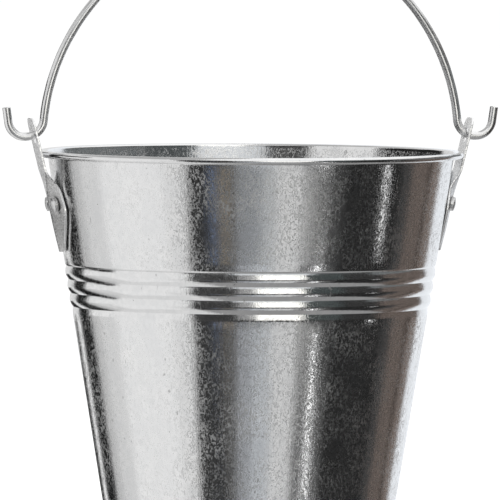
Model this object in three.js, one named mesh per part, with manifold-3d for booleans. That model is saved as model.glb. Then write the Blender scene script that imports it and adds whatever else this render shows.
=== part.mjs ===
// A galvanised feed bucket: a tapered sheet-steel pail with a wired rim, three rolled ribs,
// a bottom seamed into its foot, two riveted ears, and a wire bail that swings in the ears.
// Millimetres, +Z up. The origin is on the ground under the bucket's axis. The ears stand on
// +X and -X, so the bail swings about X.

import * as THREE from "three";
import { mergeVertices } from "three/addons/utils/BufferGeometryUtils.js";
import Module from "manifold-3d";

const wasm = await Module();
wasm.setup();

// Driving dimensions
const HEIGHT = 280; // ground to the top of the rim bead
const SHEET = 0.7; // body and bottom sheet
const GAP = 0.3; // left between pieces that touch
const ROUND = 40; // sides of everything turned about the bucket's axis

const FOOT_RADIUS = 100.4; // outside, at the ground
const TAPER = 0.1637; // outward per millimetre of height
const RIB_START = 168.2;
const RIB_PITCH = 9.8;
const RIB_COUNT = 3;
const RIB_DEPTH = 1.5; // valley to crest
const RIB_INSET = 0.6; // valleys inside the plain wall
const RIB_RUN_IN = 2.5; // height over which the wall steps in to the first and last valley

const RIM_WIRE_RADIUS = 1.4;
const RIM_RADIUS = 152.5; // outside of the rim bead
const NECK_HEIGHT = 3.5; // of the flare below the bead
const CURL_END = -125; // degrees round the rim wire, short of the wall
const BOTTOM_HEIGHT = 8; // underside of the bottom above the ground
const BOTTOM_PANEL_RADIUS = 72; // the raised middle of the bottom
const BOTTOM_PANEL_RISE = 2;
const BOTTOM_PANEL_SLOPE = 4;
const HEM_HEIGHT = 6; // how far the foot's hem turns up inside

const EAR_SHEET = 1.6;
const EAR_TIP = 208; // height of the ear's lower tip
const EAR_WIDEST = 238;
const EAR_NECK = 267; // above this the ear is a flat strap
const NECK_BLEND = 15; // height over which the ear's edges come in from the strap to the wall
const FACET_LOW = 247; // the strap's flat face narrows from the neck to a fold at this height
const EAR_TOP = 303.5;
const EAR_TIP_HALF = 4;
const EAR_WIDEST_HALF = 22;
const STRAP_HALF = 11.5;
const STRAP_CORNER = 6.5;
const STRAP_AT_NECK = 153; // outer face of the strap where it starts
const STRAP_LEAN = 0.245; // outward per millimetre of height
const RIDGE_HEIGHT = 8.2; // of the fold down the ear's middle, above the wall, at the neck
const RIDGE_AT_TIP = 5.2;
const EDGE_STANDOFF = 0.8; // of the ear's edges, off the wall

const RIVET_HEIGHT = 242;
const RIVET_SPREAD = 10.5; // each side of the ear's middle
const RIVET_TURN = THREE.MathUtils.degToRad(12); // each leans out with its flank of the ear
const RIVET_SHANK = 2.4;
const RIVET_HOLE = 2.8;
const RIVET_HEAD = 5.2;
const RIVET_HEAD_HEIGHT = 2.9;
const RIVET_TAIL = 4.2;
const RIVET_TAIL_HEIGHT = 1.6;
const RIVET_SEAT = 0.7; // under each head, which leans a little to the face it sits on

const BAIL_WIRE_RADIUS = 3;
const BAIL_LOW = 290.3; // height of the wire's centreline at the bottom of each hook
const BAIL_RADIUS = 152;
const BAIL_CENTRE = 287.7; // height of the middle of the bail's arc
const BAIL_BEND = 13; // centreline radius where the leg turns out through the ear
const HOOK_START = 165.2;
const HOOK_RADIUS = 12;
const HOOK_TAIL = 10.8;
const HOOK_SWEEP = THREE.MathUtils.degToRad(82); // so that the tail still leans outward
const EYE_HEIGHT = 291; // middle of the ear's hole
const EYE_RADIUS = 5.7;

const beadInner = RIM_WIRE_RADIUS + GAP;
const beadOuter = beadInner + SHEET;
const beadHeight = HEIGHT - beadOuter;
const beadRadius = RIM_RADIUS - beadOuter;
const ribEnd = RIB_START + RIB_COUNT * RIB_PITCH;
const wallLean = Math.atan(TAPER);

// Materials
const sheetZinc = new THREE.MeshStandardMaterial({ color: 0xc4c7c9, roughness: 0.22, metalness: 1 });
const earZinc = new THREE.MeshStandardMaterial({ color: 0xb4b7b9, roughness: 0.34, metalness: 1 });
const rivetZinc = new THREE.MeshStandardMaterial({ color: 0xbabcbe, roughness: 0.38, metalness: 1 });
const wireZinc = new THREE.MeshStandardMaterial({ color: 0xb2b5b6, roughness: 0.3, metalness: 1 });

// The plain wall's outer radius at a height.
function wallRadius(z) {
  return FOOT_RADIUS + z * TAPER;
}

// Outer wall radius with the ribs, which are half waves with sharp valleys between them.
function ribbedRadius(z) {
  const turn = (z - RIB_START) / RIB_PITCH;
  return wallRadius(z) - RIB_INSET + RIB_DEPTH * Math.abs(Math.sin(Math.PI * turn));
}

// Outer wall radius in the neck, which flares out to meet the curl.
function neckRadius(z) {
  const up = Math.max(0, 1 - (beadHeight - z) / NECK_HEIGHT);
  return wallRadius(z) + (beadRadius - beadInner - wallRadius(beadHeight)) * up ** 2;
}

// A closed profile turned about the bucket's axis.
function turned(points, sides = ROUND) {
  const profile = points.map(([r, z]) => new THREE.Vector2(r, z));
  return new THREE.LatheGeometry(profile, sides).rotateX(Math.PI / 2);
}

// Points on a circle, from one angle to another in degrees.
function arc(centreR, centreZ, radius, from, to, steps) {
  return Array.from({ length: steps + 1 }, (_, i) => {
    const a = THREE.MathUtils.degToRad(from + ((to - from) * i) / steps);
    return [centreR + radius * Math.cos(a), centreZ + radius * Math.sin(a)];
  });
}

// A closed geometry as a solid that can be cut.
function solid(geometry) {
  const bare = geometry.index ? geometry.toNonIndexed() : geometry.clone();
  bare.deleteAttribute("normal");
  bare.deleteAttribute("uv");
  const merged = mergeVertices(bare, 1e-3);
  return new wasm.Manifold(
    new wasm.Mesh({
      numProp: 3,
      vertProperties: merged.attributes.position.array,
      triVerts: new Uint32Array(merged.index.array),
    }),
  );
}

// A cut solid back as a geometry.
function surface(made) {
  const mesh = made.getMesh();
  return new THREE.BufferGeometry()
    .setAttribute("position", new THREE.BufferAttribute(new Float32Array(mesh.vertProperties), 3))
    .setIndex(new THREE.BufferAttribute(new Uint32Array(mesh.triVerts), 1));
}

function mesh(name, geometry, material) {
  const made = new THREE.Mesh(geometry, material);
  made.name = name;
  return made;
}

// Body: one sheet, hemmed round the bottom's flange at the foot and curled round the rim wire.
function bodyGeometry() {
  const hemOuter = (z) => wallRadius(z) - 2 * (SHEET + GAP) - SHEET;
  const perRib = 4;
  const neckSteps = 4;
  const wall = [[wallRadius(RIB_START - RIB_RUN_IN), RIB_START - RIB_RUN_IN]];
  for (let i = 0; i <= RIB_COUNT * perRib; i += 1) {
    const z = RIB_START + (i * RIB_PITCH) / perRib;
    wall.push([ribbedRadius(z), z]);
  }
  wall.push([wallRadius(ribEnd + RIB_RUN_IN), ribEnd + RIB_RUN_IN]);
  for (let i = 0; i < neckSteps; i += 1) {
    const z = beadHeight - NECK_HEIGHT * (1 - i / neckSteps);
    wall.push([neckRadius(z), z]);
  }
  const inside = wall.map(([r, z]) => [r - SHEET, z]).reverse();
  return turned([
    [hemOuter(0) - SHEET, 0],
    [wallRadius(0), 0],
    ...wall,
    ...arc(beadRadius, beadHeight, beadInner, 180, CURL_END, 7),
    ...arc(beadRadius, beadHeight, beadOuter, CURL_END, 180, 7),
    ...inside,
    [wallRadius(SHEET) - SHEET, SHEET],
    [hemOuter(SHEET), SHEET],
    [hemOuter(HEM_HEIGHT), HEM_HEIGHT],
    [hemOuter(HEM_HEIGHT) - SHEET, HEM_HEIGHT],
    [hemOuter(0) - SHEET, 0],
  ]);
}

// Bottom: a disc with a raised middle and a flange that hangs inside the foot's hem.
function bottomGeometry() {
  const flange = (z) => wallRadius(z) - SHEET - GAP;
  const top = BOTTOM_HEIGHT + SHEET;
  const lowest = SHEET + GAP;
  const foot = BOTTOM_PANEL_RADIUS + BOTTOM_PANEL_SLOPE;
  return turned([
    [0, BOTTOM_HEIGHT + BOTTOM_PANEL_RISE],
    [BOTTOM_PANEL_RADIUS, BOTTOM_HEIGHT + BOTTOM_PANEL_RISE],
    [foot, BOTTOM_HEIGHT],
    [flange(BOTTOM_HEIGHT) - SHEET, BOTTOM_HEIGHT],
    [flange(lowest) - SHEET, lowest],
    [flange(lowest), lowest],
    [flange(top), top],
    [foot, top],
    [BOTTOM_PANEL_RADIUS, top + BOTTOM_PANEL_RISE],
    [0, top + BOTTOM_PANEL_RISE],
  ]);
}

function rimWireGeometry() {
  return turned(arc(beadRadius, beadHeight, RIM_WIRE_RADIUS, 0, 360, 8));
}

// Half the ear's width at a height: a tip, a belly at the rivets, a neck, and round corners.
function earHalfWidth(z) {
  if (z <= EAR_WIDEST) {
    const down = (EAR_WIDEST - z) / (EAR_WIDEST - EAR_TIP);
    return EAR_TIP_HALF + (EAR_WIDEST_HALF - EAR_TIP_HALF) * (1 - down ** 1.35);
  }
  const corner = EAR_TOP - STRAP_CORNER;
  if (z > corner) {
    return STRAP_HALF - STRAP_CORNER + Math.sqrt(Math.max(0, STRAP_CORNER ** 2 - (z - corner) ** 2));
  }
  const narrowed = THREE.MathUtils.smoothstep(z, EAR_WIDEST, EAR_NECK);
  return THREE.MathUtils.lerp(EAR_WIDEST_HALF, STRAP_HALF, narrowed);
}

// Outer face of the ear on +X. Above the neck it is a flat strap that leans out past the rim.
// Below the neck its flat face narrows to a fold down the middle, like a roof, and its sides
// are bent back to the wall.
function earFace(y, z) {
  const half = earHalfWidth(z);
  const toNeck = Math.max(0, (EAR_NECK - z) / (EAR_NECK - EAR_TIP));
  const ridge = wallRadius(z) + RIDGE_HEIGHT - (RIDGE_HEIGHT - RIDGE_AT_TIP) * toNeck ** 2;
  const edge = Math.sqrt(wallRadius(z) ** 2 - half ** 2) + GAP + EDGE_STANDOFF + EAR_SHEET;
  const strap = STRAP_AT_NECK + STRAP_LEAN * (z - EAR_NECK);
  const towardStrap = THREE.MathUtils.smoothstep(z, EAR_NECK - NECK_BLEND, EAR_NECK);
  const middle = THREE.MathUtils.lerp(ridge, strap, towardStrap);
  const side = THREE.MathUtils.lerp(edge, strap, towardStrap);
  const facet = STRAP_HALF * THREE.MathUtils.clamp((z - FACET_LOW) / (EAR_NECK - FACET_LOW), 0, 1);
  if (Math.abs(y) <= facet || z >= EAR_NECK) return middle;
  return THREE.MathUtils.lerp(middle, side, (Math.abs(y) - facet) / (half - facet));
}

// A sheet of even thickness as a closed grid: its outer face, its inner face and its rim.
function earSheetGeometry() {
  const columns = 14;
  const rows = [];
  const stretches = [
    [EAR_TIP, EAR_WIDEST, 6],
    [EAR_WIDEST, EAR_NECK, 8],
    [EAR_NECK, EAR_TOP - STRAP_CORNER, 2],
    [EAR_TOP - STRAP_CORNER, EAR_TOP, 4],
  ];
  for (const [from, to, steps] of stretches) {
    for (let i = rows.length ? 1 : 0; i <= steps; i += 1) rows.push(from + ((to - from) * i) / steps);
  }
  const positions = [];
  for (const depth of [0, EAR_SHEET]) {
    for (const z of rows) {
      for (let c = 0; c <= columns; c += 1) {
        const y = earHalfWidth(z) * ((2 * c) / columns - 1);
        positions.push(earFace(y, z) - depth, y, z);
      }
    }
  }
  const width = columns + 1;
  const layer = rows.length * width;
  const faces = [];
  const quad = (a, b, c, d) => faces.push(a, b, c, a, c, d);
  for (let r = 0; r < rows.length - 1; r += 1) {
    for (let c = 0; c < columns; c += 1) {
      const a = r * width + c;
      quad(a, a + 1, a + 1 + width, a + width);
      quad(layer + a, layer + a + width, layer + a + 1 + width, layer + a + 1);
    }
    const left = r * width;
    const right = left + columns;
    quad(left, left + width, layer + left + width, layer + left);
    quad(right, layer + right, layer + right + width, right + width);
  }
  for (let c = 0; c < columns; c += 1) {
    const top = (rows.length - 1) * width + c;
    quad(c, layer + c, layer + c + 1, c + 1);
    quad(top, top + 1, layer + top + 1, layer + top);
  }
  return new THREE.BufferGeometry()
    .setAttribute("position", new THREE.Float32BufferAttribute(positions, 3))
    .setIndex(faces);
}

// Turns a geometry built along +Z about the origin so that it points out of the wall at a
// rivet of the +X ear, with its origin on the ear's outer face. side is 1 or -1.
function atRivet(geometry, side) {
  return geometry
    .rotateY(Math.PI / 2 + wallLean)
    .rotateZ(side * RIVET_TURN)
    .translate(earFace(RIVET_SPREAD, RIVET_HEIGHT), side * RIVET_SPREAD, RIVET_HEIGHT);
}

function rivetHole(side) {
  return atRivet(new THREE.CylinderGeometry(RIVET_HOLE, RIVET_HOLE, 24, 12).rotateX(Math.PI / 2), side);
}

// Rivet: a flat domed head outside, a shank through ear and wall, a closed head inside.
function rivetGeometry(side) {
  const flats = (wallRadius(RIVET_HEIGHT) - SHEET) * Math.cos(Math.PI / ROUND);
  const wallInside = Math.sqrt(flats ** 2 - RIVET_SPREAD ** 2);
  const tailFace = wallInside - earFace(RIVET_SPREAD, RIVET_HEIGHT) - RIVET_SEAT;
  return atRivet(
    turned(
      [
        [0, tailFace - RIVET_TAIL_HEIGHT],
        [RIVET_TAIL * 0.7, tailFace - RIVET_TAIL_HEIGHT],
        [RIVET_TAIL, tailFace - RIVET_TAIL_HEIGHT / 2],
        [RIVET_TAIL, tailFace],
        [RIVET_SHANK, tailFace],
        [RIVET_SHANK, RIVET_SEAT],
        [RIVET_HEAD, RIVET_SEAT],
        [RIVET_HEAD, RIVET_SEAT + RIVET_HEAD_HEIGHT * 0.55],
        [RIVET_HEAD * 0.8, RIVET_SEAT + RIVET_HEAD_HEIGHT * 0.9],
        [0, RIVET_SEAT + RIVET_HEAD_HEIGHT],
      ],
      12,
    ),
    side,
  );
}

// Ear with its two rivet holes and the hole that the bail hangs in.
function earGeometry() {
  const eye = new THREE.CylinderGeometry(EYE_RADIUS, EYE_RADIUS, 24, 16)
    .rotateZ(Math.PI / 2)
    .translate(STRAP_AT_NECK, 0, EYE_HEIGHT);
  let ear = solid(earSheetGeometry()).subtract(solid(eye));
  for (const side of [1, -1]) ear = ear.subtract(solid(rivetHole(side)));
  return surface(ear);
}

// The bail's centreline, in X and Z from the left hook over the top to the right hook. Each
// bend meets the big arc without a corner, and slopes where it passes through the ear.
class BailLine extends THREE.Curve {
  constructor() {
    super();
    const bendTop = BAIL_LOW + BAIL_BEND;
    const start = Math.asin((bendTop - BAIL_CENTRE) / (BAIL_RADIUS + BAIL_BEND));
    const bendX = (BAIL_RADIUS + BAIL_BEND) * Math.cos(start);
    const hookTop = BAIL_LOW + HOOK_RADIUS;
    const curlX = HOOK_START + HOOK_RADIUS * Math.sin(HOOK_SWEEP);
    const curlZ = hookTop - HOOK_RADIUS * Math.cos(HOOK_SWEEP);
    const tipX = curlX + HOOK_TAIL * Math.cos(HOOK_SWEEP);
    const tipZ = curlZ + HOOK_TAIL * Math.sin(HOOK_SWEEP);
    const down = 1.5 * Math.PI;
    this.path = new THREE.Path();
    this.path.moveTo(-tipX, tipZ);
    this.path.lineTo(-curlX, curlZ);
    this.path.absarc(-HOOK_START, hookTop, HOOK_RADIUS, down - HOOK_SWEEP, down, false);
    this.path.lineTo(-bendX, BAIL_LOW);
    this.path.absarc(-bendX, bendTop, BAIL_BEND, down, 2 * Math.PI - start, false);
    this.path.absarc(0, BAIL_CENTRE, BAIL_RADIUS, Math.PI - start, start, true);
    this.path.absarc(bendX, bendTop, BAIL_BEND, Math.PI + start, down, false);
    this.path.lineTo(HOOK_START, BAIL_LOW);
    this.path.absarc(HOOK_START, hookTop, HOOK_RADIUS, down, down + HOOK_SWEEP, false);
    this.path.lineTo(tipX, tipZ);
  }
  getPoint(t, target = new THREE.Vector3()) {
    const p = this.path.getPoint(t);
    return target.set(p.x, 0, p.y);
  }
}

function bailGeometry() {
  const section = new THREE.Shape().absarc(0, 0, BAIL_WIRE_RADIUS, 0, 2 * Math.PI);
  return new THREE.ExtrudeGeometry(section, {
    steps: 130,
    curveSegments: 4,
    bevelEnabled: false,
    extrudePath: new BailLine(),
  });
}

// Assembly
const bucket = new THREE.Group();

let body = solid(bodyGeometry());
for (const end of [0, Math.PI]) {
  for (const side of [1, -1]) body = body.subtract(solid(rivetHole(side).rotateZ(end)));
}
bucket.add(mesh("body_shell", surface(body), sheetZinc));
bucket.add(mesh("bottom_disc", bottomGeometry(), sheetZinc));
bucket.add(mesh("rim_wire", rimWireGeometry(), wireZinc));
bucket.add(mesh("bail", bailGeometry(), wireZinc));

for (const [name, end] of [["right", 0], ["left", Math.PI]]) {
  const fittings = new THREE.Group();
  fittings.rotation.z = end;
  fittings.add(mesh(`ear_${name}`, earGeometry(), earZinc));
  fittings.add(mesh(`rivet_${name}_a`, rivetGeometry(1), rivetZinc));
  fittings.add(mesh(`rivet_${name}_b`, rivetGeometry(-1), rivetZinc));
  bucket.add(fittings);
}

export default bucket;
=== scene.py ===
import math

import bpy
from mathutils import Matrix, Vector
from mathutils.geometry import delaunay_2d_cdt


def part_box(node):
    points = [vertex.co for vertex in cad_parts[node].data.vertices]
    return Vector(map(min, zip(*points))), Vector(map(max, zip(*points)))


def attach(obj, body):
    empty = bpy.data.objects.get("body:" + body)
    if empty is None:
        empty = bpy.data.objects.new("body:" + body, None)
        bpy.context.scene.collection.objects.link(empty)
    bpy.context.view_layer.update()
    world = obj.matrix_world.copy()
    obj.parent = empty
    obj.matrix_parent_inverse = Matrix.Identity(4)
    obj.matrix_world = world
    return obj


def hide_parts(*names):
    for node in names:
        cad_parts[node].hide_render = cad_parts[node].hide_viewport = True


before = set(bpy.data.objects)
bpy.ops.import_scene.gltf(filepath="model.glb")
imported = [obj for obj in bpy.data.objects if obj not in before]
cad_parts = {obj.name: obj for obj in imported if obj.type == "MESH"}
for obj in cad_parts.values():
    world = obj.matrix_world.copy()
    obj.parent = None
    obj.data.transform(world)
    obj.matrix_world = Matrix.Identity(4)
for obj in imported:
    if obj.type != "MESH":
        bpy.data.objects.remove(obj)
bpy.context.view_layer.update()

# The shapes below are worked out in millimetres, as the CAD model is, and become metres when
# a mesh is made.
MM = 0.001


def cad_corner(node, corner, axis):
    """One coordinate of a CAD node's box, in millimetres."""
    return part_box(node)[corner][axis] / MM


# Sizes from the frame
HEIGHT = cad_corner("body_shell", 1, 2)
RIM_RADIUS = cad_corner("body_shell", 1, 0)
EAR_TIP = cad_corner("ear_right", 0, 2)
EAR_TOP = cad_corner("ear_right", 1, 2)
EAR_WIDEST_HALF = cad_corner("ear_right", 1, 1)

# Sizes of the sheet-metal body
SHEET = 0.7
GAP = 0.3
FOOT_RADIUS = 100.4
TAPER = 0.1637
RIB_START = 168.2
RIB_PITCH = 9.8
RIB_COUNT = 3
RIB_DEPTH = 1.5
RIB_INSET = 0.8
RIB_CREST = 0.43  # where each rib's crest is, up from its lower valley
RIB_RUN_OUT = 5.0  # height over which the wall below the ribs steps out to its taper
RIB_RUN_IN = 1.6
RIM_WIRE_RADIUS = 1.4
NECK_HEIGHT = 3.5
CURL_END = -125.0
ROLL_HEIGHT = 1.4  # the inside of the wall rolls over to the bead in this height
HEM_HEIGHT = 6.0
BOTTOM_HEIGHT = 8.0
BOTTOM_PANEL_RADIUS = 72.0
BOTTOM_PANEL_RISE = 2.0
BOTTOM_PANEL_SLOPE = 5.0  # how wide the step down from the raised panel is
BOTTOM_RINGS = (34.0, 52.0)  # radii of the stiffening rings
BOTTOM_RING_RISE = 0.5
BOTTOM_RING_HALF = 1.6
SEAM_WIDTH = 7.0  # of the lock seam down the back of the wall
SEAM_RISE = 0.9
SEAM_FOOT = (2, 6)  # the seam rises out of the wall between these heights
SEAM_TOP = (264, 270)  # and sinks back into it between these
WAVES_FOOT = (5, 40)  # the wall's slight waves grow between these heights

# Sizes of the ears and rivets
EAR_SHEET = 1.6
EAR_WIDEST = 238.0
EAR_NECK = 267.0
NECK_BLEND = 15.0
FACET_LOW = 247.0  # the strap's flat face narrows to the fold at this height
EAR_TIP_HALF = 4.0
STRAP_HALF = 11.5
STRAP_CORNER = 6.5
STRAP_AT_NECK = 153.0
STRAP_LEAN = 0.245
RIDGE_HEIGHT = 8.2
RIDGE_AT_TIP = 5.2
RIDGE_ROUND = 1.2  # how far the fold down the middle is rounded
EDGE_STANDOFF = 0.8
DIMPLE_RADIUS = 7.0
DIMPLE_DEPTH = 0.7
RIVET_HEIGHT = 242.0
RIVET_SPREAD = 10.5
RIVET_TURN = math.radians(12)
RIVET_HOLE = 2.8
RIVET_SHANK = 2.4
RIVET_HEAD = 5.2
RIVET_TOP = 3.6  # outer face of a rivet's head above the ear
RIVET_TAIL = 4.2
EYE_HEIGHT = 291.0
EYE_RADIUS = 5.7

# Sizes of the bail
BAIL_WIRE_RADIUS = 3.0
BAIL_RADIUS = 152.0
BAIL_CENTRE = 287.7
BAIL_LOW = 290.3  # height of the wire's centreline at the bottom of each hook
BAIL_BEND = 13.0
HOOK_START = 165.2
HOOK_RADIUS = 12.0
HOOK_TAIL = 10.8
HOOK_SWEEP = math.radians(82)

BEAD_INNER = RIM_WIRE_RADIUS + GAP
BEAD_OUTER = BEAD_INNER + SHEET
BEAD_HEIGHT = HEIGHT - BEAD_OUTER
BEAD_RADIUS = RIM_RADIUS - BEAD_OUTER
WAVES_TOP = (262, BEAD_HEIGHT)  # the waves die away between these heights
RIB_END = RIB_START + RIB_COUNT * RIB_PITCH
WALL_LEAN = math.atan(TAPER)

# Camera: where it looks from, relative to the bucket's own front
VIEW_AZIMUTH = math.radians(-12)
VIEW_ELEVATION = math.radians(2.45)
VIEW_ROLL = math.radians(0.3)
VIEW_DISTANCE = 10.0
VIEW_WIDTH = 0.3583  # width of the picture at the bucket's axis
VIEW_HEIGHT = 0.2087  # height that the picture is centred on
VIEW_ASIDE = -0.0003  # how far that is off the axis


def view_axes():
    """Unit vectors towards the camera and to its right."""
    toward = Vector(
        (
            math.sin(VIEW_AZIMUTH) * math.cos(VIEW_ELEVATION),
            -math.cos(VIEW_AZIMUTH) * math.cos(VIEW_ELEVATION),
            math.sin(VIEW_ELEVATION),
        )
    )
    right = Vector((math.cos(VIEW_AZIMUTH), math.sin(VIEW_AZIMUTH), 0))
    return toward, right


def add_camera():
    toward, _ = view_axes()
    data = bpy.data.cameras.new("camera")
    data.sensor_width = 36
    data.lens = data.sensor_width * VIEW_DISTANCE / VIEW_WIDTH
    data.clip_end = 100
    camera = bpy.data.objects.new("camera", data)
    camera.rotation_mode = "QUATERNION"
    camera.location = Vector((VIEW_ASIDE, 0, VIEW_HEIGHT)) + toward * VIEW_DISTANCE
    level = (-toward).to_track_quat("-Z", "Y").to_matrix().to_4x4()
    camera.rotation_quaternion = (Matrix.Rotation(VIEW_ROLL, 4, toward) @ level).to_quaternion()
    bpy.context.scene.collection.objects.link(camera)
    bpy.context.scene.camera = camera


add_camera()


# Small helpers


def lerp(a, b, t):
    return a + (b - a) * t


def smoothstep(value, low, high):
    t = min(1.0, max(0.0, (value - low) / (high - low)))
    return t * t * (3 - 2 * t)


def spread(low, high, steps):
    """steps + 1 even values, both ends included."""
    return [lerp(low, high, i / steps) for i in range(steps + 1)]


def arc(centre_r, centre_z, radius, start, end, steps):
    """Points on a circle, from one angle to another in degrees."""
    angles = [math.radians(a) for a in spread(start, end, steps)]
    return [(centre_r + radius * math.cos(a), centre_z + radius * math.sin(a)) for a in angles]


def circle(centre, radius, sides):
    """Even points round a flat circle."""
    across, up = centre
    turns = [2 * math.pi * i / sides for i in range(sides)]
    return [(across + radius * math.cos(a), up + radius * math.sin(a)) for a in turns]


def shade(mesh, sharp):
    """Smooth shading, except across edges sharper than that many degrees."""
    mesh.shade_smooth()
    mesh.set_sharp_from_angle(angle=math.radians(sharp))


def make_object(name, points, faces, sharp=35.0):
    """A smooth-shaded mesh object from points in millimetres."""
    mesh = bpy.data.meshes.new(name)
    mesh.from_pydata([Vector(p) * MM for p in points], [], faces)
    mesh.validate()
    shade(mesh, sharp)
    made = bpy.data.objects.new(name, mesh)
    bpy.context.scene.collection.objects.link(made)
    return made


def lathe_faces(sides, rings, closed):
    """Quads of a profile of that many rings, turned through that many sides."""
    faces = []
    for s in range(sides):
        t = (s + 1) % sides
        for k in range(rings if closed else rings - 1):
            n = (k + 1) % rings
            faces.append((s * rings + k, t * rings + k, t * rings + n, s * rings + n))
    return faces


def turned(name, profile, sides, sharp=35.0):
    """A closed profile of (radius, height), turned about the bucket's axis. A profile whose
    ends are on the axis is closed by the axis."""
    on_axis = profile[0][0] == 0
    rings = profile[1:-1] if on_axis else profile
    points = []
    for s in range(sides):
        a = 2 * math.pi * s / sides
        points += [(r * math.cos(a), r * math.sin(a), z) for r, z in rings]
    faces = lathe_faces(sides, len(rings), closed=not on_axis)
    if on_axis:
        first, last = len(points), len(points) + 1
        points += [(0, 0, profile[0][1]), (0, 0, profile[-1][1])]
        count = len(rings)
        for s in range(sides):
            t = (s + 1) % sides
            faces.append((first, t * count, s * count))
            faces.append((last, s * count + count - 1, t * count + count - 1))
    return make_object(name, points, faces, sharp)


def place(piece, node, body, material):
    """Puts a finished piece in its CAD node's place."""
    piece.data.materials.append(material)
    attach(piece, body)
    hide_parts(node)


# Materials


class Nodes:
    """Short calls for building a material's nodes."""

    def __init__(self, name):
        self.material = bpy.data.materials.new(name)
        self.material.use_nodes = True
        self.tree = self.material.node_tree
        self.shader = self.tree.nodes["Principled BSDF"]

    def add(self, kind, inputs=(), **settings):
        node = self.tree.nodes.new(kind)
        for key, value in settings.items():
            setattr(node, key, value)
        for socket, value in dict(inputs).items():
            self.feed(node.inputs[socket], value)
        return node

    def feed(self, socket, value):
        """Links an output to a socket, or sets the socket to a plain value."""
        if isinstance(value, bpy.types.NodeSocket):
            self.tree.links.new(value, socket)
        else:
            socket.default_value = value

    def place(self):
        """Position on the object, in metres."""
        return self.add("ShaderNodeTexCoord").outputs["Object"]

    def stretched(self, vector, scale, turn=(0, 0, 0)):
        """A position scaled unevenly, after a turn if one is given."""
        inputs = {"Vector": vector, "Rotation": turn, "Scale": scale}
        return self.add("ShaderNodeMapping", inputs).outputs[0]

    def noise(self, vector, scale, detail=3.0, rough=0.5, distortion=0.0):
        inputs = {"Vector": vector, "Scale": scale, "Detail": detail}
        inputs |= {"Roughness": rough, "Distortion": distortion}
        return self.add("ShaderNodeTexNoise", inputs).outputs["Fac"]

    def math(self, operation, a, b=0.0):
        return self.add("ShaderNodeMath", {0: a, 1: b}, operation=operation).outputs[0]

    def ramp(self, value, low, high, out_low=0.0, out_high=1.0):
        """A value from low to high brought to out_low to out_high, and clamped."""
        inputs = {"Value": value, "From Min": low, "From Max": high}
        inputs |= {"To Min": out_low, "To Max": out_high}
        return self.add("ShaderNodeMapRange", inputs).outputs[0]

    def blend(self, factor, a, b):
        """Colour a where the factor is 0 and b where it is 1."""
        node = self.add("ShaderNodeMix", data_type="RGBA")
        self.feed(node.inputs[0], factor)
        self.feed(node.inputs[6], a)
        self.feed(node.inputs[7], b)
        return node.outputs[2]

    def bump(self, height, distance, below=None):
        """A bump whose height of 1 is that many metres."""
        node = self.add("ShaderNodeBump", {"Height": height, "Distance": distance})
        if below is not None:
            self.feed(node.inputs["Normal"], below)
        return node.outputs["Normal"]

    def metal(self, tone, rough, normal):
        """Finishes the material as bare metal of that colour, roughness and normal."""
        self.feed(self.shader.inputs["Base Color"], tone)
        self.feed(self.shader.inputs["Metallic"], 1.0)
        self.feed(self.shader.inputs["Roughness"], rough)
        self.feed(self.shader.inputs["Normal"], normal)
        return self.material


def grey(value, warmth=0.0):
    """A linear grey, a little warm or cool."""
    return (value * (1 + warmth), value, value * (1 - warmth), 1)


def round_the_wall(nodes):
    """A position that changes quickly round the bucket and slowly up it."""
    x, y, z = nodes.add("ShaderNodeSeparateXYZ", {0: nodes.place()}).outputs
    across = nodes.add("ShaderNodeCombineXYZ", {0: x, 1: y, 2: 0.0}).outputs[0]
    unit = nodes.add("ShaderNodeVectorMath", {0: across}, operation="NORMALIZE").outputs[0]
    slow = nodes.math("MULTIPLY", z, 0.35)
    up = nodes.add("ShaderNodeCombineXYZ", {0: 0.0, 1: 0.0, 2: slow}).outputs[0]
    return nodes.add("ShaderNodeVectorMath", {0: unit, 1: up}, operation="ADD").outputs[0]


# Heights in metres where rolling has polished the sheet: round the ribs' middle, and above
# the bead's underside
RIB_BAND = 0.181
RIB_BAND_HALF = 0.017
BEAD_LOW = 0.2765


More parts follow.
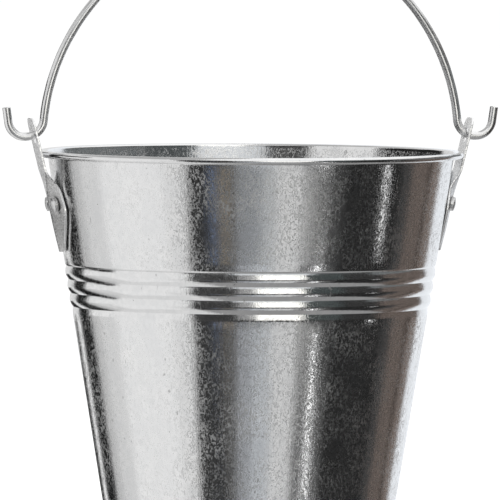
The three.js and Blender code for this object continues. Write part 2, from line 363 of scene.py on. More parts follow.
def zinc_sheet_material():
    """Bright galvanised sheet: a mirror broken by a fine worm-like grain, with rolling streaks,
    faint spangle, short scratches and specks."""
    n = Nodes("zinc_sheet")
    place_on = n.place()
    upright = n.stretched(place_on, (1, 1, 0.55), turn=(0.0, 0.3, 0.0))
    grain = n.noise(upright, 700, detail=2, rough=0.55, distortion=1.3)
    fine = n.noise(upright, 1700, detail=2, rough=0.6)
    patches = n.noise(place_on, 38, detail=4, rough=0.6)
    waves = n.noise(n.stretched(place_on, (1, 1, 0.4)), 55, detail=1.5)
    streaks = n.noise(round_the_wall(n), 95, detail=3, rough=0.65)
    spangle = n.add("ShaderNodeTexVoronoi", {"Vector": place_on, "Scale": 260.0}).outputs["Color"]
    crystal = n.add("ShaderNodeSeparateColor", {0: spangle}).outputs[0]
    slanted = n.stretched(place_on, (1, 1, 0.22), turn=(0.5, 0.9, 0.3))
    ticks = n.ramp(n.noise(slanted, 300, detail=1), 0.75, 0.79)
    specks = n.ramp(n.noise(place_on, 240, detail=0), 0.82, 0.85)
    marks = n.math("MAXIMUM", ticks, specks)

    tone = n.blend(n.ramp(patches, 0.3, 0.7), grey(0.74, -0.004), grey(0.81, 0.003))
    tone = n.blend(n.ramp(crystal, 0, 1, 0, 0.35), tone, grey(0.68, -0.01))
    tone = n.blend(n.ramp(marks, 0, 1, 0, 0.4), tone, grey(0.32))

    etched = n.math("MULTIPLY", n.ramp(grain, 0.48, 0.58), n.ramp(patches, 0.35, 0.62, 0.4, 1.0))
    up = n.add("ShaderNodeSeparateXYZ", {0: place_on}).outputs[2]
    from_ribs = n.math("ABSOLUTE", n.math("SUBTRACT", up, RIB_BAND))
    off_ribs = n.ramp(from_ribs, RIB_BAND_HALF, RIB_BAND_HALF + 0.003, 0.5, 1.0)
    off_bead = n.ramp(up, BEAD_LOW + 0.001, BEAD_LOW, 0.1, 1.0)
    etched = n.math("MULTIPLY", etched, n.math("MULTIPLY", off_ribs, off_bead))
    rough = n.ramp(etched, 0, 1, 0.05, 0.43)
    rough = n.math("ADD", rough, n.ramp(streaks, 0.5, 0.8, 0.0, 0.05))
    rough = n.math("ADD", rough, n.math("MULTIPLY", marks, 0.2))

    normal = n.bump(waves, 9e-5)
    normal = n.bump(streaks, 3e-5, normal)
    normal = n.bump(grain, 4e-5, normal)
    normal = n.bump(fine, 9e-6, normal)
    return n.metal(tone, rough, normal)


def zinc_ear_material():
    """Thicker pressed sheet, duller than the wall, with stamping scuffs. Its flanks are darkened, partly
    as a duller pressed finish and partly as a painted dark reflection.
    """
    n = Nodes("zinc_ear")
    place_on = n.place()
    grain = n.noise(place_on, 900, detail=3, rough=0.65, distortion=0.6)
    patches = n.noise(place_on, 130, detail=4, rough=0.6)
    scuffs = n.noise(n.stretched(place_on, (1, 1, 0.16)), 900, detail=2)
    worn = n.ramp(scuffs, 0.6, 0.72)
    tone = n.blend(n.ramp(patches, 0.3, 0.7), grey(0.8, -0.004), grey(0.93, 0.004))
    tone = n.blend(n.math("MULTIPLY", worn, 0.4), tone, grey(0.96))
    flank = n.add("ShaderNodeAttribute", attribute_name="flank").outputs["Fac"]
    cut = n.add("ShaderNodeAttribute", attribute_name="cut").outputs["Fac"]
    # Painted reflection: the flanks are darkened towards a dark grey, partly a duller pressed finish and
    # partly a painted dark reflection.
    dull_and_painted_reflection = n.math("MULTIPLY", flank, n.ramp(grain, 0.4, 0.64, 0.8, 0.2))
    tone = n.blend(dull_and_painted_reflection, tone, grey(0.3, 0.01))
    tone = n.blend(cut, tone, grey(0.93))
    rough = n.math("ADD", n.ramp(grain, 0.42, 0.58, 0.16, 0.46), n.ramp(patches, 0.4, 0.7, 0, 0.1))
    normal = n.bump(patches, 1.2e-4)
    normal = n.bump(grain, 2e-5, normal)
    normal = n.bump(worn, 6e-6, normal)
    return n.metal(tone, rough, normal)


def zinc_rivet_material():
    """Set rivet heads: satin, with hammer flats."""
    n = Nodes("zinc_rivet")
    place_on = n.place()
    cells = n.add("ShaderNodeTexVoronoi", {"Vector": place_on, "Scale": 420.0}, feature="SMOOTH_F1")
    grain = n.noise(place_on, 1500, detail=3, rough=0.6)
    tone = n.blend(n.ramp(n.noise(place_on, 260, detail=3), 0.35, 0.7), grey(0.64), grey(0.82, 0.004))
    rough = n.ramp(grain, 0.35, 0.7, 0.24, 0.42)
    normal = n.bump(cells.outputs["Distance"], 9e-5)
    normal = n.bump(grain, 1.2e-5, normal)
    return n.metal(tone, rough, normal)


def zinc_wire_material():
    """Galvanised drawn wire, with draw marks along it and small runs of zinc."""
    n = Nodes("zinc_wire")
    place_on = n.place()
    along = n.add("ShaderNodeUVMap", uv_map="wire").outputs[0]
    draw = n.noise(n.stretched(along, (1, 0.008, 1)), 22, detail=2.5, rough=0.5)
    runs = n.noise(place_on, 210, detail=3, rough=0.55)
    grain = n.noise(place_on, 1300, detail=2)
    tone = n.blend(n.ramp(draw, 0.3, 0.7), grey(0.7, 0.002), grey(0.86))
    tone = n.blend(n.ramp(runs, 0.55, 0.72, 0, 0.4), tone, grey(0.9, -0.004))
    rough = n.math("ADD", n.ramp(draw, 0.35, 0.7, 0.2, 0.3), n.ramp(runs, 0.45, 0.7, 0, 0.08))
    normal = n.bump(runs, 3e-5)
    normal = n.bump(draw, 1e-5, normal)
    normal = n.bump(grain, 6e-6, normal)
    return n.metal(tone, rough, normal)


# Body


def wall_radius(z):
    """The plain wall's outer radius at a height."""
    return FOOT_RADIUS + z * TAPER


def rib_height(z):
    """How far a rib stands above its valleys: a quick rise, a round crest, a longer fall."""
    turn = ((z - RIB_START) / RIB_PITCH) % 1.0
    up = turn / RIB_CREST if turn < RIB_CREST else (1 - turn) / (1 - RIB_CREST)
    return RIB_DEPTH * (1 - (1 - up) ** 1.7)


def shaped_radius(z, flared=True):
    """Outer wall radius with the ribs, the curves either side of them and, if flared, the neck."""
    plain = wall_radius(z)
    if z < RIB_START:
        left = max(0.0, 1 - (RIB_START - z) / RIB_RUN_OUT)
        return plain - RIB_INSET * left ** 1.2
    if z <= RIB_END:
        return plain - RIB_INSET + rib_height(z)
    inset = RIB_INSET * max(0.0, 1 - (z - RIB_END) / RIB_RUN_IN) ** 2
    up = max(0.0, 1 - (BEAD_HEIGHT - z) / NECK_HEIGHT) if flared else 0.0
    return plain - inset + (BEAD_RADIUS - BEAD_INNER - wall_radius(BEAD_HEIGHT)) * up**2.2


def wall_heights():
    """Heights up the wall, close together where it curves."""
    per_rib = 14
    low = RIB_START - RIB_RUN_OUT
    heights = spread(1.5, low, 26)
    heights += spread(low, RIB_START, 10)[1:]
    for rib in range(RIB_COUNT):
        foot = RIB_START + rib * RIB_PITCH
        crest = foot + RIB_CREST * RIB_PITCH
        heights += spread(foot, crest, per_rib // 2)[1:]
        heights += spread(crest, foot + RIB_PITCH, per_rib // 2)[1:]
    heights += spread(RIB_END, RIB_END + RIB_RUN_IN, 4)[1:]
    heights += spread(RIB_END + RIB_RUN_IN, BEAD_HEIGHT - NECK_HEIGHT, 14)[1:]
    heights += spread(BEAD_HEIGHT - NECK_HEIGHT, BEAD_HEIGHT, 12)[1:-1]
    return heights


def body_angles():
    """Angles round the wall, close together at the lock seam, which is at +Y."""
    seam = math.pi / 2
    span = SEAM_WIDTH / FOOT_RADIUS
    dense = [seam + span * t for t in spread(-1, 1, 24)]
    even = spread(seam + span, seam - span + 2 * math.pi, 250)
    return dense + even[1:-1]


def unevenness(angle, z):
    """Slight waves that rolling leaves in a sheet wall."""
    fade = smoothstep(z, *WAVES_FOOT) * (1 - smoothstep(z, *WAVES_TOP))
    wave = 0.1 * math.sin(2 * angle + 0.7) + 0.05 * math.sin(5 * angle + z / 47)
    return fade * (wave + 0.025 * math.sin(9 * angle - z / 23))


def seam_rise(angle, z):
    """The lock seam's fold over the outside of the wall."""
    off_seam = angle - math.pi / 2
    away = abs(math.atan2(math.sin(off_seam), math.cos(off_seam))) * wall_radius(z)
    across = 1 - smoothstep(away, SEAM_WIDTH / 2 - 0.5, SEAM_WIDTH / 2 + 0.5)
    ends = smoothstep(z, *SEAM_FOOT) * (1 - smoothstep(z, *SEAM_TOP))
    return SEAM_RISE * across * ends


def body_piece():
    """One sheet, hemmed round the bottom's flange at the foot and curled round the rim wire."""
    heights = wall_heights()
    foot_turn = 0.8  # radius of the fold at the foot

    def hem_outer(z):
        return wall_radius(z) - 2 * (SHEET + GAP) - SHEET

    foot = [(hem_outer(0) - SHEET, foot_turn)]
    foot += arc(hem_outer(0) - SHEET + foot_turn, foot_turn, foot_turn, 180, 270, 5)[1:]
    foot += arc(wall_radius(0) - foot_turn, foot_turn, foot_turn, 270, 360, 5)
    outside = [(shaped_radius(z), z) for z in heights]
    curl = arc(BEAD_RADIUS, BEAD_HEIGHT, BEAD_INNER, 180, CURL_END, 28)
    curl += arc(BEAD_RADIUS, BEAD_HEIGHT, BEAD_OUTER, CURL_END, 90, 26)
    straight = wall_radius(HEIGHT - ROLL_HEIGHT) - SHEET
    curl += [
        (lerp(BEAD_RADIUS, straight, math.sin(a)), HEIGHT - ROLL_HEIGHT * (1 - math.cos(a)))
        for a in spread(0, math.pi / 2, 12)[1:]
    ]
    below = [z for z in reversed(heights) if z < HEIGHT - ROLL_HEIGHT - 0.2]
    inside = [(shaped_radius(z, flared=False) - SHEET, z) for z in below]
    hem = [(wall_radius(SHEET) - SHEET, SHEET), (hem_outer(SHEET), SHEET)]
    hem += [(hem_outer(HEM_HEIGHT), HEM_HEIGHT), (hem_outer(HEM_HEIGHT) - SHEET, HEM_HEIGHT)]
    profile = foot + outside + curl + inside + hem

    first_outside, last_outside = len(foot), len(foot) + len(outside)
    points = []
    angles = body_angles()
    for angle in angles:
        for k, (r, z) in enumerate(profile):
            radius = r + unevenness(angle, z)
            if first_outside <= k < last_outside:
                radius += seam_rise(angle, z)
            points.append((radius * math.cos(angle), radius * math.sin(angle), z))
    faces = lathe_faces(len(angles), len(profile), closed=True)
    return make_object("bucket_wall", points, faces, sharp=28)


def bottom_piece():
    """Pressed bottom with a raised middle, two stiffening rings and a flange in the hem."""

    def flange(z):
        return wall_radius(z) - SHEET - GAP

    def panel(r):
        slope_end = BOTTOM_PANEL_RADIUS + BOTTOM_PANEL_SLOPE
        raised = BOTTOM_PANEL_RISE * (1 - smoothstep(r, BOTTOM_PANEL_RADIUS, slope_end))
        off_rings = [(r - ring) / BOTTOM_RING_HALF for ring in BOTTOM_RINGS]
        rings = sum(BOTTOM_RING_RISE * math.exp(-(off**2)) for off in off_rings)
        return BOTTOM_HEIGHT + raised + rings

    radii = spread(0, flange(BOTTOM_HEIGHT) - 2.4, 96)
    lowest = SHEET + GAP
    turn = 1.6
    centre = flange(BOTTOM_HEIGHT + SHEET) - turn
    under = [(r, panel(r)) for r in radii]
    under += arc(centre, BOTTOM_HEIGHT + SHEET - turn, turn - SHEET, 90, 0, 6)
    rim = [(flange(lowest) - SHEET, lowest), (flange(lowest), lowest)]
    over = arc(centre, BOTTOM_HEIGHT + SHEET - turn, turn, 0, 90, 8)
    over += [(r, panel(r) + SHEET) for r in reversed(radii)]
    return turned("bucket_bottom", under + rim + over, 160)


def rim_wire_piece():
    ring = arc(BEAD_RADIUS, BEAD_HEIGHT, RIM_WIRE_RADIUS, 0, 360, 16)[:-1]
    wire = turned("rim_core_wire", ring, 200)
    wire_coordinates(wire, sides=len(ring))
    return wire


# Ears

EAR_STEP = 1.1  # spacing of the points that cut an ear's sheet into triangles
EAR_MARGIN = 0.6  # how far they keep off its outline and holes
EAR_SHARP = 50.0
HOLE_SIDES = 40


def ear_half_width(z):
    """Half the ear's width at a height: a pointed leaf below, a round-topped strap above."""
    if z <= EAR_WIDEST:
        down = (EAR_WIDEST - z) / (EAR_WIDEST - EAR_TIP)
        return lerp(EAR_WIDEST_HALF, EAR_TIP_HALF, max(0.0, down) ** 1.35)
    corner = EAR_TOP - STRAP_CORNER
    if z > corner:
        return STRAP_HALF - STRAP_CORNER + math.sqrt(max(0.0, STRAP_CORNER**2 - (z - corner) ** 2))
    return lerp(EAR_WIDEST_HALF, STRAP_HALF, smoothstep(z, EAR_WIDEST, EAR_NECK))


def facet_half_width(z):
    """Half the width of the flat face, which narrows below the neck."""
    return STRAP_HALF * min(1.0, max(0.0, (z - FACET_LOW) / (EAR_NECK - FACET_LOW)))


def rounded(distance):
    """How far a flank has fallen, up to a factor, at a distance from its rounded fold."""
    return math.hypot(distance, RIDGE_ROUND) - RIDGE_ROUND


def plain_ear_face(y, z):
    """Outer face of the right ear, before its dimples: a strap whose flat face narrows to a fold."""
    half = ear_half_width(z)
    to_neck = max(0.0, (EAR_NECK - z) / (EAR_NECK - EAR_TIP))
    ridge = wall_radius(z) + lerp(RIDGE_HEIGHT, RIDGE_AT_TIP, to_neck**2)
    edge = math.sqrt(wall_radius(z) ** 2 - half**2) + GAP + EDGE_STANDOFF + EAR_SHEET
    strap = STRAP_AT_NECK + STRAP_LEAN * (z - EAR_NECK)
    toward_strap = smoothstep(z, EAR_NECK - NECK_BLEND, EAR_NECK)
    middle = lerp(ridge, strap, toward_strap)
    if z >= EAR_NECK:
        return middle
    facet = facet_half_width(z)
    across = rounded(max(0.0, abs(y) - facet)) / rounded(half - facet)
    return lerp(middle, lerp(edge, strap, toward_strap), across)


def ear_face(y, z):
    """The outer face with a round dimple pressed round each rivet."""
    away = math.hypot(abs(y) - RIVET_SPREAD, z - RIVET_HEIGHT)
    return plain_ear_face(y, z) - DIMPLE_DEPTH * (1 - smoothstep(away, DIMPLE_RADIUS - 2, DIMPLE_RADIUS))


def ear_holes():
    """Centre (y, z) and radius of each hole through the ear."""
    rivets = [((side * RIVET_SPREAD, RIVET_HEIGHT), RIVET_HOLE) for side in (-1, 1)]
    return [((0.0, EYE_HEIGHT), EYE_RADIUS)] + rivets


def on_ear(y, z, clear):
    """Whether a point is on the sheet, that far inside its outline and off its holes."""
    if not EAR_TIP + clear < z < EAR_TOP - clear or abs(y) > ear_half_width(z) - clear:
        return False
    return all(math.hypot(y - cy, z - cz) > radius + clear for (cy, cz), radius in ear_holes())


def ear_outline():
    """The outline in (y, z): up one side, over the top, down the other side and along the tip."""
    corner = EAR_TOP - STRAP_CORNER
    quarter = spread(0, math.pi / 2, 12)[1:]
    heights = spread(EAR_TIP, corner, 90)
    heights += [EAR_TOP - STRAP_CORNER * (1 - math.sin(a)) for a in quarter]
    side = [(ear_half_width(z), z) for z in heights]
    top_half, tip_half = side[-1][0], side[0][0]
    top = [(y, EAR_TOP) for y in spread(top_half, -top_half, 10)[1:-1]]
    tip = [(y, EAR_TIP) for y in spread(-tip_half, tip_half, 6)[1:-1]]
    return side + top + [(-y, z) for y, z in reversed(side)] + tip


def loop_edges(first, count):
    """Edges that join that many points into a loop."""
    return [(first + i, first + (i + 1) % count) for i in range(count)]


def flat_ear():
    """The flat sheet's points, and the triangles between them that aren't in a hole."""
    flat = ear_outline()
    edges = loop_edges(0, len(flat))
    for centre, radius in ear_holes():
        edges += loop_edges(len(flat), HOLE_SIDES)
        flat += circle(centre, radius, HOLE_SIDES)
    rows = int((EAR_TOP - EAR_TIP) / EAR_STEP)
    columns = int(EAR_WIDEST_HALF / EAR_STEP) + 1
    for row in range(1, rows + 1):
        for column in range(-columns, columns + 1):
            y, z = column * EAR_STEP, EAR_TIP + row * EAR_STEP
            if on_ear(y, z, EAR_MARGIN):
                flat.append((y, z))
    found = delaunay_2d_cdt([Vector(p) for p in flat], edges, [], 0, 1e-4)
    points, triangles = found[0], found[2]
    kept = []
    for triangle in triangles:
        y = sum(points[i].x for i in triangle) / 3
        z = sum(points[i].y for i in triangle) / 3
        if on_ear(y, z, 0):
            kept.append(tuple(triangle))
    return points, kept


def ear_piece(name, turn):
    """A pressed sheet with three round holes. turn is 0 for the right ear and pi for the left."""
    flat, triangles = flat_ear()
    count = len(flat)
    turned_by = Matrix.Rotation(turn, 3, "Z")
    points = [
        turned_by @ Vector((ear_face(p.x, p.y) - depth, p.x, p.y))
        for depth in (0, EAR_SHEET)
        for p in flat
    ]
    sides = [side for a, b, c in triangles for side in ((a, b), (b, c), (c, a))]
    found = set(sides)
    walls = [(q, p, p + count, q + count) for p, q in sides if (q, p) not in found]
    under = [(c + count, b + count, a + count) for a, b, c in triangles]
    ear = make_object(name, points, triangles + under + walls, EAR_SHARP)
    drop_loose(ear)
    mark_ear(ear)
    cut_edge = ear.modifiers.new("cut edge", "BEVEL")
    cut_edge.width = 0.28 * MM
    cut_edge.segments = 2
    cut_edge.limit_method = "ANGLE"
    cut_edge.angle_limit = math.radians(60)
    return ear


def mark_ear(ear):
    """Stores on each face whether it is on a flank, which is darkened partly as a duller finish and partly
    as a painted dark reflection, or on the cut edge.
    """
    flank = ear.data.attributes.new("flank", "FLOAT", "FACE")
    cut = ear.data.attributes.new("cut", "FLOAT", "FACE")
    for polygon in ear.data.polygons:
        y, z = abs(polygon.center.y) / MM, polygon.center.z / MM
        # The flank mark carries the painted dark reflection, partly a duller finish.
        flank.data[polygon.index].value = float(y > facet_half_width(z) + 0.3 and z < EAR_NECK - 1)
        cut.data[polygon.index].value = float(len(polygon.vertices) == 4)


def drop_loose(piece):
    """Deletes points that no face uses."""
    mesh = piece.data
    used = {i for polygon in mesh.polygons for i in polygon.vertices}
    if len(used) == len(mesh.vertices):
        return
    order = {old: new for new, old in enumerate(sorted(used))}
    points = [mesh.vertices[i].co.copy() for i in sorted(used)]
    faces = [[order[i] for i in polygon.vertices] for polygon in mesh.polygons]
    mesh.clear_geometry()
    mesh.from_pydata(points, [], faces)
    shade(mesh, EAR_SHARP)


# Rivets


def rivet_piece(name, side, turn):
    """A domed head outside, a shank, and a closed head inside the wall."""
    wall_inside = math.sqrt((wall_radius(RIVET_HEIGHT) - SHEET) ** 2 - RIVET_SPREAD**2)
    seat = plain_ear_face(RIVET_SPREAD, RIVET_HEIGHT)
    tail = wall_inside - seat - 0.35
    under = -DIMPLE_DEPTH + 0.3
    edge = 1.1  # rounding of the head's rim
    dome = 0.8  # how far the head's middle stands above its edge
    profile = [(0.0, tail - 1.6)]
    profile += arc(RIVET_TAIL - 1.0, tail - 0.6, 1.0, -90, 0, 6)
    profile += [(RIVET_TAIL, tail), (RIVET_SHANK, tail), (RIVET_SHANK, under)]
    profile += [(RIVET_HEAD - 0.3, under), (RIVET_HEAD, under + 0.3)]
    profile += arc(RIVET_HEAD - edge, RIVET_TOP - dome - edge, edge, 0, 62, 7)
    last_r, last_z = profile[-1]
    profile += [(last_r * (1 - t), lerp(last_z, RIVET_TOP, 1 - (1 - t) ** 2)) for t in spread(0, 1, 8)[1:]]
    rivet = turned(name, profile, 40, sharp=40)
    stand = (
        Matrix.Rotation(turn, 4, "Z")
        @ Matrix.Translation((seat * MM, side * RIVET_SPREAD * MM, RIVET_HEIGHT * MM))
        @ Matrix.Rotation(side * RIVET_TURN, 4, "Z")
        @ Matrix.Rotation(math.pi / 2 + WALL_LEAN, 4, "Y")
    )
    rivet.data.transform(stand)
    return rivet


# Bail


def bail_line():
    """The bail's centreline in (x, z), from the left hook over the top to the right hook."""
    bend_top = BAIL_LOW + BAIL_BEND
    start = math.asin((bend_top - BAIL_CENTRE) / (BAIL_RADIUS + BAIL_BEND))
    bend_x = (BAIL_RADIUS + BAIL_BEND) * math.cos(start)
    sweep = math.degrees(HOOK_SWEEP)
    hook = arc(HOOK_START, BAIL_LOW + HOOK_RADIUS, HOOK_RADIUS, -90, sweep - 90, 28)
    tail_x, tail_z = hook[-1]
    tip = (tail_x + HOOK_TAIL * math.cos(HOOK_SWEEP), tail_z + HOOK_TAIL * math.sin(HOOK_SWEEP))
    tail = [(lerp(tail_x, tip[0], t), lerp(tail_z, tip[1], t)) for t in spread(0, 1, 10)[1:]]
    bend = arc(bend_x, bend_top, BAIL_BEND, 180 + math.degrees(start), 270, 22)
    over = arc(0, BAIL_CENTRE, BAIL_RADIUS, 90, math.degrees(start), 200)
    right = over + bend[1:] + hook + tail
    left = [(-x, z) for x, z in reversed(right[1:])]
    return left + right


def wire_coordinates(piece, sides):
    """UVs on a swept wire: 1 for once round it, and 1 for every four rings along it."""
    layer = piece.data.uv_layers.new(name="wire")
    for polygon in piece.data.polygons:
        for corner in polygon.loop_indices:
            ring, spot = divmod(piece.data.loops[corner].vertex_index, sides)
            layer.data[corner].uv = (spot / sides, ring / 4)


def bail_piece():
    """A round wire swept along its centreline, a little uneven, with cropped ends."""
    line = bail_line()
    sides = 28
    chamfer = 0.5
    rings = []
    for i, (x, z) in enumerate(line):
        before, after = line[max(0, i - 1)], line[min(len(line) - 1, i + 1)]
        dx, dz = after[0] - before[0], after[1] - before[1]
        size = math.hypot(dx, dz)
        uneven = 0.05 * math.sin(0.11 * i) + 0.03 * math.sin(0.37 * i + 1)
        rings.append((x, z, dx / size, dz / size, BAIL_WIRE_RADIUS + uneven))
    for end, toward in ((0, -1), (-1, 1)):
        x, z, tx, tz, radius = rings[end]
        back = (x - toward * tx * chamfer, z - toward * tz * chamfer, tx, tz, radius)
        front = (x, z, tx, tz, radius - chamfer)
        pair = [front, back] if end == 0 else [back, front]
        rings = pair + rings[1:] if end == 0 else rings[:-1] + pair
    points = []
    for x, z, tx, tz, radius in rings:
        for k in range(sides):
            a = 2 * math.pi * k / sides
            out = radius * math.cos(a)
            points.append((x + out * tz, radius * math.sin(a), z - out * tx))
    faces = []
    for i in range(len(rings) - 1):
        for k in range(sides):
            n = (k + 1) % sides
            faces.append((i * sides + k, i * sides + n, (i + 1) * sides + n, (i + 1) * sides + k))
    last = (len(rings) - 1) * sides
    faces.append(tuple(reversed(range(sides))))
    faces.append(tuple(range(last, last + sides)))
    bail = make_object("bail_wire", points, faces, sharp=40)
    wire_coordinates(bail, sides)
    return bail


# Studio


def emission(name, colour, strength=1.0):
    material = bpy.data.materials.new(name)
    material.use_nodes = True
    tree = material.node_tree
    tree.nodes.clear()
    glow = tree.nodes.new("ShaderNodeEmission")
    glow.inputs["Color"].default_value = (*colour, 1)
    glow.inputs["Strength"].default_value = strength
    out = tree.nodes.new("ShaderNodeOutputMaterial")
    tree.links.new(glow.outputs[0], out.inputs[0])
    return material


CARD_RADIUS = 3.0
CARD_STEP = 4.0  # degrees between a card's upright edges
STRIPE_PERIOD = 4.5  # degrees
LIGHT_SHARE = 0.33  # of each period
WARM = (1.0, 0.985, 0.94)
COOL = (0.93, 0.96, 1.0)
NEUTRAL = (1.0, 1.0, 1.0)
BROWN = (1.2, 0.98, 0.87)

# Cards that stand round the bucket, for the metal to reflect. Each tier has a lower and an
# upper height in metres. Heights below 0 are under the floor, which reflections don't see. A
# card runs between two bearings in degrees from the camera's side, positive to the right,
# with a brightness and a tint. A pair of brightnesses is a card of upright stripes, dark and
# light in turn, which the sheet's grain breaks into speckle.

# Cards that the three lower tiers share
BEHIND_LEFT = [
    (-180, -170, 0.5, NEUTRAL), (-170, -155, 0.01, NEUTRAL),
    (-155, -146, 1.0, NEUTRAL), (-146, -126, 0.012, NEUTRAL),
]
FRONT_LEFT = [(-97, -52, 0.98, NEUTRAL), (-52, -38, 0.86, NEUTRAL)]
BEHIND_RIGHT = [
    (106, 121, (0.07, 0.26), BROWN), (121, 127, 0.07, BROWN),
    (127, 139, (0.09, 0.34), BROWN), (139, 180, 1.06, COOL),
]

TIERS = {
    "low": (-2.4, -0.93, [
        *BEHIND_LEFT, (-126, -115, 0.6, NEUTRAL), (-115, -97, 0.78, NEUTRAL), *FRONT_LEFT,
        (-38, -17, (0.015, 0.11), NEUTRAL), (-17, -9, (0.05, 0.22), NEUTRAL),
        (-9, 1, (0.27, 0.66), (0.97, 1.0, 1.06)), (1, 14, (0.45, 0.85), (0.96, 1.0, 1.05)),
        (14, 31, (0.62, 1.0), NEUTRAL), (31, 47, (0.08, 0.36), NEUTRAL),
        (47, 54, (0.06, 0.3), NEUTRAL), (54, 97, (0.008, 0.065), NEUTRAL),
        (97, 106, (0.03, 0.16), NEUTRAL), *BEHIND_RIGHT,
    ]),
    "wall": (-0.93, -0.62, [
        *BEHIND_LEFT, (-126, -115, 0.64, NEUTRAL), (-115, -97, 0.8, NEUTRAL), *FRONT_LEFT,
        (-38, -25, (0.01, 0.1), NEUTRAL), (-25, -19, (0.08, 0.3), (0.8, 0.95, 1.3)),
        (-19, -11, (0.11, 0.4), (1.12, 1.0, 0.85)), (-11, -9, 0.05, NEUTRAL),
        (-9, 7, (0.17, 0.52), (0.96, 1.0, 1.05)), (7, 15, (0.38, 0.8), (0.97, 1.0, 1.02)),
        (15, 31, (0.6, 1.0), NEUTRAL), (31, 38, (0.28, 0.7), NEUTRAL),
        (38, 48, (0.07, 0.36), NEUTRAL), (48, 56, (0.02, 0.15), NEUTRAL),
        (56, 97, (0.008, 0.065), NEUTRAL), (97, 106, (0.025, 0.14), NEUTRAL), *BEHIND_RIGHT,
    ]),
    "above_wall": (-0.62, -0.1, [
        *BEHIND_LEFT, (-126, -115, 0.64, NEUTRAL), (-115, -97, 0.8, NEUTRAL), *FRONT_LEFT,
        (-38, 56, (0.02, 0.14), NEUTRAL), (56, 97, (0.008, 0.065), NEUTRAL),
        (97, 106, (0.025, 0.14), NEUTRAL), *BEHIND_RIGHT,
    ]),
    "ribs": (-0.1, 1.7, [
        (-180, -146, 0.8, NEUTRAL), (-146, -126, 0.02, NEUTRAL), (-126, -38, 0.95, NEUTRAL),
        (-38, -8, (0.02, 0.12), NEUTRAL), (-8, 4, (0.26, 0.62), NEUTRAL), (4, 34, 1.6, WARM),
        (34, 60, (0.04, 0.17), (0.85, 1.0, 1.0)), (60, 90, (0.02, 0.09), NEUTRAL),
        (90, 139, (0.06, 0.26), BROWN), (139, 180, 1.04, COOL),
    ]),
    "top": (1.7, 2.4, [(-180, -30, 0.8, NEUTRAL), (-30, 180, 1.1, NEUTRAL)]),
}

# Low rings of cards just above the rim, which the inside of the far wall reflects. Each has a
# lower and an upper height.
INNER_RADIUS = 0.6
INNER_RINGS = {
    "inner_front": (0.39, 0.52, [
        (-88, -39, 0.9, NEUTRAL), (-39, -10, (0.03, 0.22), NEUTRAL), (-10, 37, 0.8, (0.97, 1.0, 1.03)),
        (37, 75, (0.05, 0.22), (0.92, 1.0, 1.02)),
    ]),
    "inner_sides": (0.3, 0.46, [
        (-150, -88, (0.008, 0.04), NEUTRAL), (75, 150, (0.11, 0.36), (0.94, 1.0, 1.02)),
    ]),
}
# Level cards over and under the bucket: two bearings and a brightness
OVERHEAD = [(-180, -30, 0.5), (-30, 180, 1.2)]
UNDERFOOT = [(-180, -38, 0.84), (-38, 180, 0.34)]
# Narrow cards in front of the others: two bearings, radius, two heights, brightness
NARROW = {
    "glint": (80.4, 82.4, 1.1, -0.072, 0.02, 2.0),
    "streak": (42.6, 44.2, 2.9, -2.4, -0.84, 3.2),
}


def bearing_point(bearing, radius, height):
    """A place in the studio, from its bearing in degrees off the camera."""
    a = math.radians(bearing)
    toward, right = view_axes()
    toward.z = 0
    toward.normalize()
    flat = toward * math.cos(a) + right * math.sin(a)
    return (flat.x * radius, flat.y * radius, height)


def bearings(start, end):
    """Even bearings from one to another, about CARD_STEP apart."""
    return spread(start, end, max(1, round((end - start) / CARD_STEP)))


def stage_mesh(name, points, faces, material):
    """A card or floor, in metres. Only the floor is seen by the camera."""
    mesh = bpy.data.meshes.new(name)
    mesh.from_pydata(points, [], faces)
    mesh.materials.append(material)
    made = bpy.data.objects.new(name, mesh)
    bpy.context.scene.collection.objects.link(made)
    return made


def glossy_only(card):
    """Leaves a card to be seen by reflections alone."""
    card.visible_camera = False
    card.visible_diffuse = False
    card.visible_shadow = False
    card.visible_transmission = False


def upright_card(name, low, high, start, end, colour, radius=CARD_RADIUS):
    """A glowing card bent round the bucket, between two heights and two bearings."""
    places = bearings(start, end)
    points = [bearing_point(b, radius, z) for z in (low, high) for b in places]
    count = len(places)
    faces = [(i, i + 1, count + i + 1, count + i) for i in range(count - 1)]
    glossy_only(stage_mesh(name, points, faces, emission(name, colour)))


def level_card(name, height, start, end, colour):
    """A glowing level sector between two bearings."""
    places = bearings(start, end)
    points = [(0, 0, height)] + [bearing_point(b, CARD_RADIUS, height) for b in places]
    faces = [(0, i, i + 1) for i in range(1, len(places))]
    glossy_only(stage_mesh(name, points, faces, emission(name, colour)))


def striped(start, end, dark, light):
    """Cards that alternate between two brightnesses, dark at both ends."""
    count = max(1, round((end - start) / STRIPE_PERIOD))
    period = (end - start) / count
    stripes = []
    for i in range(count):
        first, last = start + period * i, start + period * (i + 1)
        lit = start + period * (i + (1 - LIGHT_SHARE) / 2)
        unlit = lit + period * LIGHT_SHARE
        stripes += [(first, lit, dark), (lit, unlit, light), (unlit, last, dark)]
    return stripes


def ring_of_cards(name, low, high, cards, radius=CARD_RADIUS):
    """A tier's cards, with each pair of brightnesses made into stripes."""
    for i, (start, end, brightness, tint) in enumerate(cards):
        parts = [(start, end, brightness)]
        if isinstance(brightness, tuple):
            parts = striped(start, end, *brightness)
        for k, (first, last, level) in enumerate(parts):
            colour = tuple(level * channel for channel in tint)
            upright_card(f"card_{name}_{i}_{k}", low, high, first, last, colour, radius)


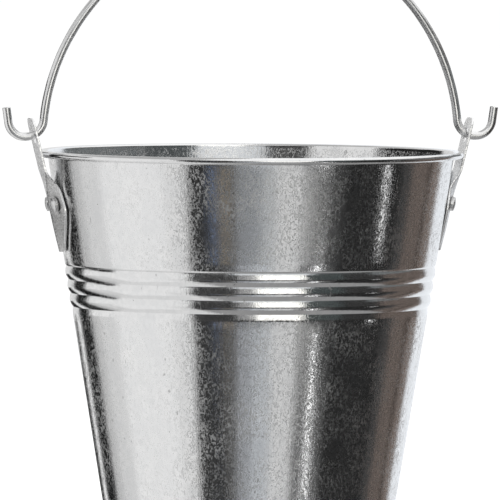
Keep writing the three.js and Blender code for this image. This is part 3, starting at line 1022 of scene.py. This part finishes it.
def add_cards():
    for tier, (low, high, cards) in TIERS.items():
        ring_of_cards(tier, low, high, cards)
    for ring, (low, high, cards) in INNER_RINGS.items():
        ring_of_cards(ring, low, high, cards, INNER_RADIUS)
    top = TIERS["top"][1]
    for i, (start, end, brightness) in enumerate(OVERHEAD):
        level_card(f"card_over_{i}", top, start, end, (brightness,) * 3)
    for i, (start, end, brightness) in enumerate(UNDERFOOT):
        level_card(f"card_under_{i}", TIERS["low"][0], start, end, (brightness,) * 3)
    for name, (start, end, radius, low, high, brightness) in NARROW.items():
        upright_card(f"card_{name}", low, high, start, end, (brightness,) * 3, radius)


def add_floor():
    """A pale floor that takes shadows but isn't reflected."""
    material = bpy.data.materials.new("studio_floor")
    material.use_nodes = True
    shader = material.node_tree.nodes["Principled BSDF"]
    shader.inputs["Base Color"].default_value = (0.93, 0.93, 0.93, 1)
    shader.inputs["Roughness"].default_value = 0.9
    shader.inputs["Specular IOR Level"].default_value = 0.0
    half = 45
    corners = [(-half, -half, 0), (half, -half, 0), (half, half, 0), (-half, half, 0)]
    floor = stage_mesh("studio_floor", corners, [(0, 1, 2, 3)], material)
    floor.visible_glossy = False


def add_light():
    """A white world and one soft light overhead, which makes the shadow."""
    world = bpy.data.worlds.new("studio")
    bpy.context.scene.world = world
    world.use_nodes = True
    background = world.node_tree.nodes["Background"]
    background.inputs["Color"].default_value = (1, 1, 1, 1)
    background.inputs["Strength"].default_value = 1.1
    lamp = bpy.data.lights.new("overhead_softbox", "AREA")
    lamp.size = 2.5
    lamp.energy = 60
    softbox = bpy.data.objects.new("overhead_softbox", lamp)
    softbox.location = (-0.8, -0.6, 3.2)
    softbox.rotation_euler = (-softbox.location).to_track_quat("-Z", "Y").to_euler()
    softbox.visible_glossy = False
    bpy.context.scene.collection.objects.link(softbox)
    bpy.context.scene.view_settings.view_transform = "Standard"


def build():
    """Every piece of the bucket, in its CAD node's place."""
    sheet = zinc_sheet_material()
    ear = zinc_ear_material()
    rivet = zinc_rivet_material()
    wire = zinc_wire_material()
    place(body_piece(), "body_shell", "bucket", sheet)
    place(bottom_piece(), "bottom_disc", "bucket", sheet)
    place(rim_wire_piece(), "rim_wire", "bucket", wire)
    for hand, turn in (("right", 0.0), ("left", math.pi)):
        place(ear_piece(f"{hand}_ear_plate", turn), f"ear_{hand}", "bucket", ear)
        for letter, side in (("a", 1), ("b", -1)):
            head = rivet_piece(f"{hand}_rivet_{letter}", side, turn)
            place(head, f"rivet_{hand}_{letter}", "bucket", rivet)
    place(bail_piece(), "bail", "bail", wire)


build()
add_cards()
add_floor()
add_light()
